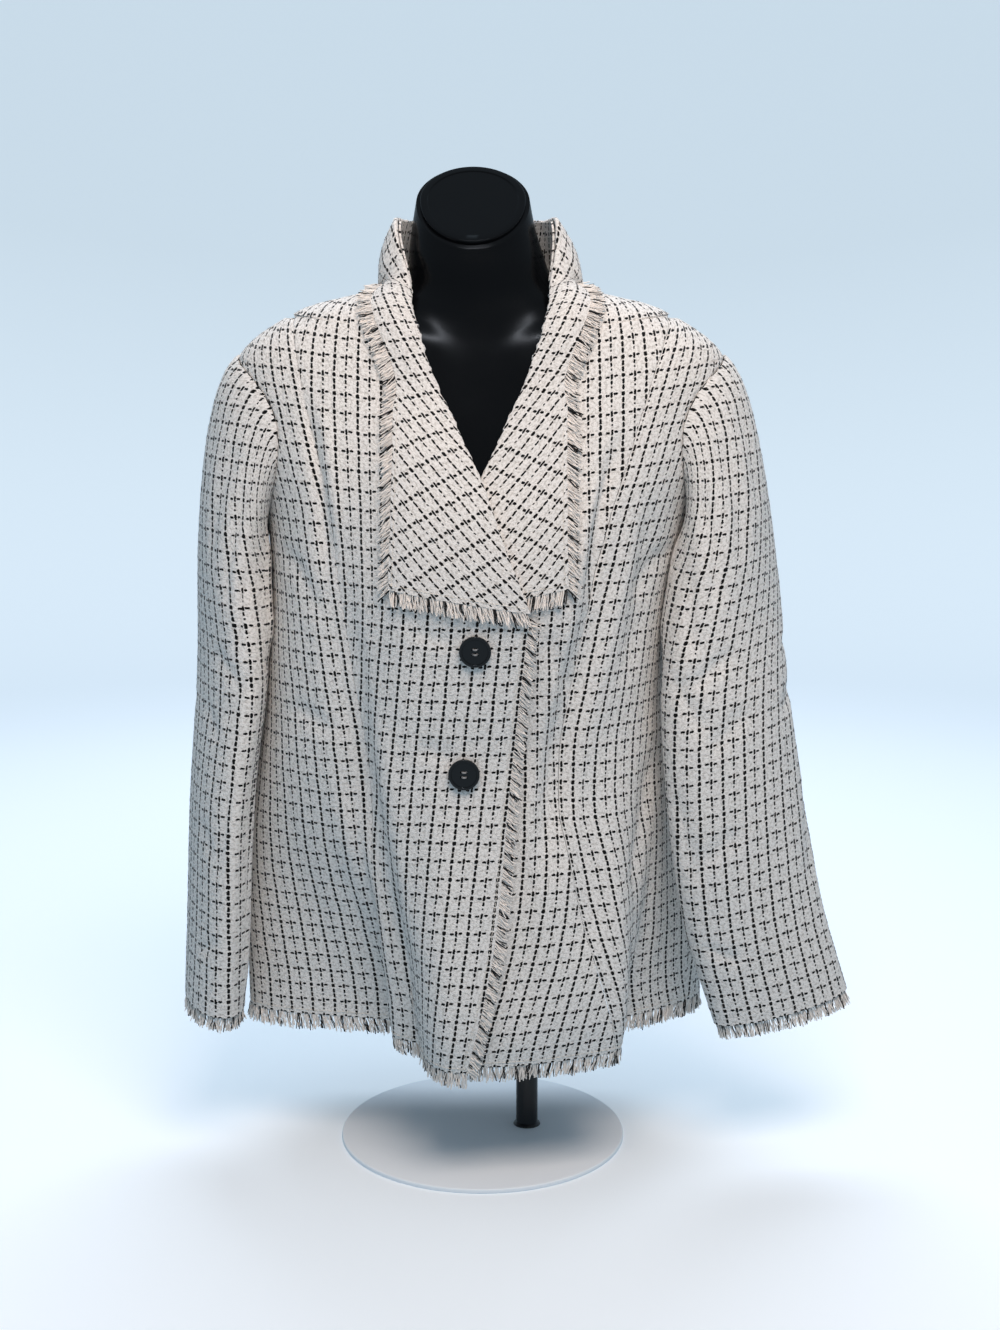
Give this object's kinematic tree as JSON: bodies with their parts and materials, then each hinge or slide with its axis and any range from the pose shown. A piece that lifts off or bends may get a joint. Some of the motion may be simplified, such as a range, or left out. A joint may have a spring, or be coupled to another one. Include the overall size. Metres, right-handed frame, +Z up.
{
  "type": "boucle blazer on a dress form",
  "caption": "Fringed boucle blazer with a shawl collar, buttoned on a limbless dress form that stands on a pole and a round base.",
  "frame": {"origin": "middle of the base plate's underside, on the floor", "axes": "+Z up, -Y the front of the blazer, +X the viewer's right (the wearer's left)"},
  "size_m": [0.6017, 0.3112, 0.8725],
  "materials": {
    "boucle_cloth": "cream boucle tweed with a dashed black check",
    "fringe_yarn": "frayed cream yarn with black tufts",
    "black_button": "glossy black",
    "black_form": "glossy black moulded shell",
    "stand_lacquer": "black lacquer",
    "base_lacquer": "pale lacquer"
  },
  "bodies": {
    "root": {"back_centre_left": "boucle_cloth", "back_centre_right": "boucle_cloth", "back_side_left": "boucle_cloth", "back_side_right": "boucle_cloth", "button_lower": "black_button", "button_upper": "black_button", "collar_end_fringe_left": "fringe_yarn", "collar_end_fringe_right": "fringe_yarn", "collar_left": "boucle_cloth", "collar_right": "boucle_cloth", "collar_side_fringe_left": "fringe_yarn", "collar_side_fringe_right": "fringe_yarn", "collar_stand": "boucle_cloth", "cuff_fringe_left": "fringe_yarn", "cuff_fringe_right": "fringe_yarn", "form_neck_cap": "black_form", "form_torso": "black_form", "front_centre_left": "boucle_cloth", "front_centre_right": "boucle_cloth", "front_edge_fringe": "fringe_yarn", "front_side_left": "boucle_cloth", "front_side_right": "boucle_cloth", "hem_fringe_back": "fringe_yarn", "hem_fringe_left": "fringe_yarn", "hem_fringe_right": "fringe_yarn", "sleeve_under_left": "boucle_cloth", "sleeve_under_right": "boucle_cloth", "sleeve_upper_left": "boucle_cloth", "sleeve_upper_right": "boucle_cloth", "stand_base": "base_lacquer", "stand_pole": "stand_lacquer"}
  },
  "joints": []
}
